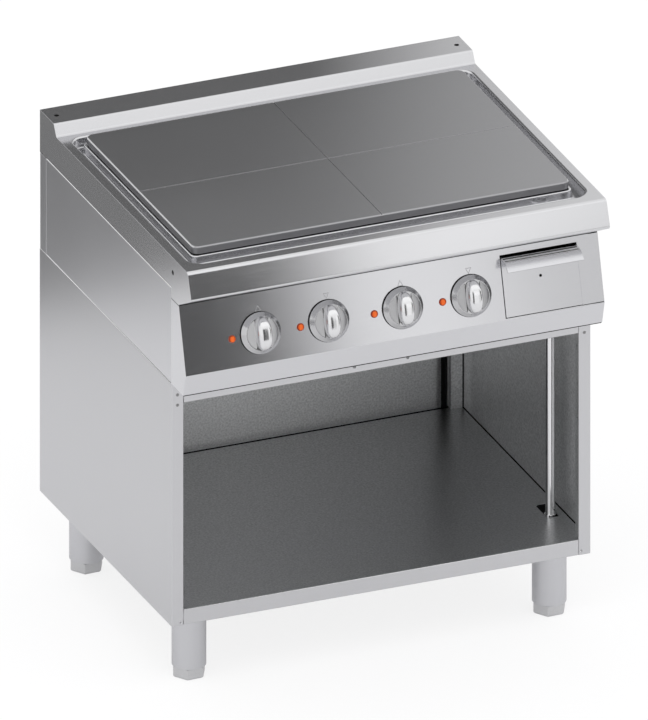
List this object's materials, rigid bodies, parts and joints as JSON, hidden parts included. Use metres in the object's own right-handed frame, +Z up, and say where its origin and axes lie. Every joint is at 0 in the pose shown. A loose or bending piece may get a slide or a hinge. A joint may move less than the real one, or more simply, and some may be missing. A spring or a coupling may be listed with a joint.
{
  "type": "electric cooker",
  "caption": "Free-standing electric solid-top range: a steel hot plate in a trough, a leaning control panel with rotary knobs and a small drawer, on an open cabinet stand with round legs.",
  "frame": {"origin": "centre of the footprint, on the floor under the feet", "axes": "+X to the right of a person facing the controls, +Y from the controls to the back, +Z up"},
  "size_m": [0.8, 0.6993, 0.87],
  "materials": {
    "worktop_steel": "satin brushed stainless sheet",
    "plate_steel": "fine ground steel plate",
    "body_steel": "satin stainless sheet",
    "panel_steel": "satin brushed stainless sheet",
    "cabinet_steel": "satin stainless sheet",
    "inner_steel": "plain mill finish sheet",
    "element_steel": "heat-darkened strip",
    "conduit_steel": "bright tube",
    "knob_metal": "satin chrome",
    "leg_metal": "satin grey",
    "foot_metal": "satin grey",
    "screw_steel": "zinc plated",
    "lamp_amber": "clear amber",
    "black_plastic": "moulded",
    "grey_plastic": "moulded",
    "seal_fibre": "woven glass-fibre tape",
    "board_fibre": "pressed ceramic fibre"
  },
  "bodies": {
    "cooker": {"cabinet_back": "cabinet_steel", "cabinet_floor": "cabinet_steel", "cabinet_side_left": "cabinet_steel", "cabinet_side_right": "cabinet_steel", "cable_conduit": "conduit_steel", "cable_gland": "black_plastic", "control_panel": "panel_steel", "cooking_plate": "plate_steel", "drain_spout": "inner_steel", "drawer_runner_left": "inner_steel", "drawer_runner_right": "inner_steel", "element_tray": "inner_steel", "front_crossbar": "cabinet_steel", "heating_element_1": "element_steel", "heating_element_2": "element_steel", "heating_element_3": "element_steel", "heating_element_4": "element_steel", "hob_back": "body_steel", "hob_floor": "inner_steel", "hob_side_left": "body_steel", "hob_side_right": "body_steel", "insulation_board": "board_fibre", "leg_screws": "screw_steel", "legs": "leg_metal", "pilot_lamps": "lamp_amber", "plate_seal": "seal_fibre", "rear_upright_left": "cabinet_steel", "rear_upright_right": "cabinet_steel", "regulator_1": "black_plastic", "regulator_2": "black_plastic", "regulator_3": "black_plastic", "regulator_4": "black_plastic", "safety_thermostat": "black_plastic", "terminal_block": "grey_plastic", "worktop": "worktop_steel"},
    "knob_1": {"knob_1": "knob_metal"},
    "knob_2": {"knob_2": "knob_metal"},
    "knob_3": {"knob_3": "knob_metal"},
    "knob_4": {"knob_4": "knob_metal"},
    "drawer": {"drawer_front": "panel_steel", "drawer_tray": "inner_steel"},
    "foot_front_left": {"foot_front_left": "foot_metal"},
    "foot_front_right": {"foot_front_right": "foot_metal"},
    "foot_rear_left": {"foot_rear_left": "foot_metal"},
    "foot_rear_right": {"foot_rear_right": "foot_metal"}
  },
  "joints": [
    {"name": "knob_1_turn", "type": "hinge", "parent": "cooker", "child": "knob_1", "pos_m": [-0.25196, -0.31076, 0.69614], "axis": [0, 0.9659, -0.2589], "range_deg": [0, 300]},
    {"name": "knob_2_turn", "type": "hinge", "parent": "cooker", "child": "knob_2", "pos_m": [-0.12145, -0.31076, 0.69614], "axis": [0, 0.9659, -0.2589], "range_deg": [0, 300]},
    {"name": "knob_3_turn", "type": "hinge", "parent": "cooker", "child": "knob_3", "pos_m": [0.01955, -0.31076, 0.69614], "axis": [0, 0.9659, -0.2589], "range_deg": [0, 300]},
    {"name": "knob_4_turn", "type": "hinge", "parent": "cooker", "child": "knob_4", "pos_m": [0.15006, -0.31076, 0.69614], "axis": [0, 0.9659, -0.2589], "range_deg": [0, 300]},
    {"name": "drawer_slide", "type": "slide", "parent": "cooker", "child": "drawer", "axis": [0, -1, 0], "range_m": [0, 0.28]},
    {"name": "foot_front_left_level", "type": "slide", "parent": "cooker", "child": "foot_front_left", "axis": [0, 0, -1], "range_m": [0, 0.03]},
    {"name": "foot_front_right_level", "type": "slide", "parent": "cooker", "child": "foot_front_right", "axis": [0, 0, -1], "range_m": [0, 0.03]},
    {"name": "foot_rear_left_level", "type": "slide", "parent": "cooker", "child": "foot_rear_left", "axis": [0, 0, -1], "range_m": [0, 0.03]},
    {"name": "foot_rear_right_level", "type": "slide", "parent": "cooker", "child": "foot_rear_right", "axis": [0, 0, -1], "range_m": [0, 0.03]}
  ]
}
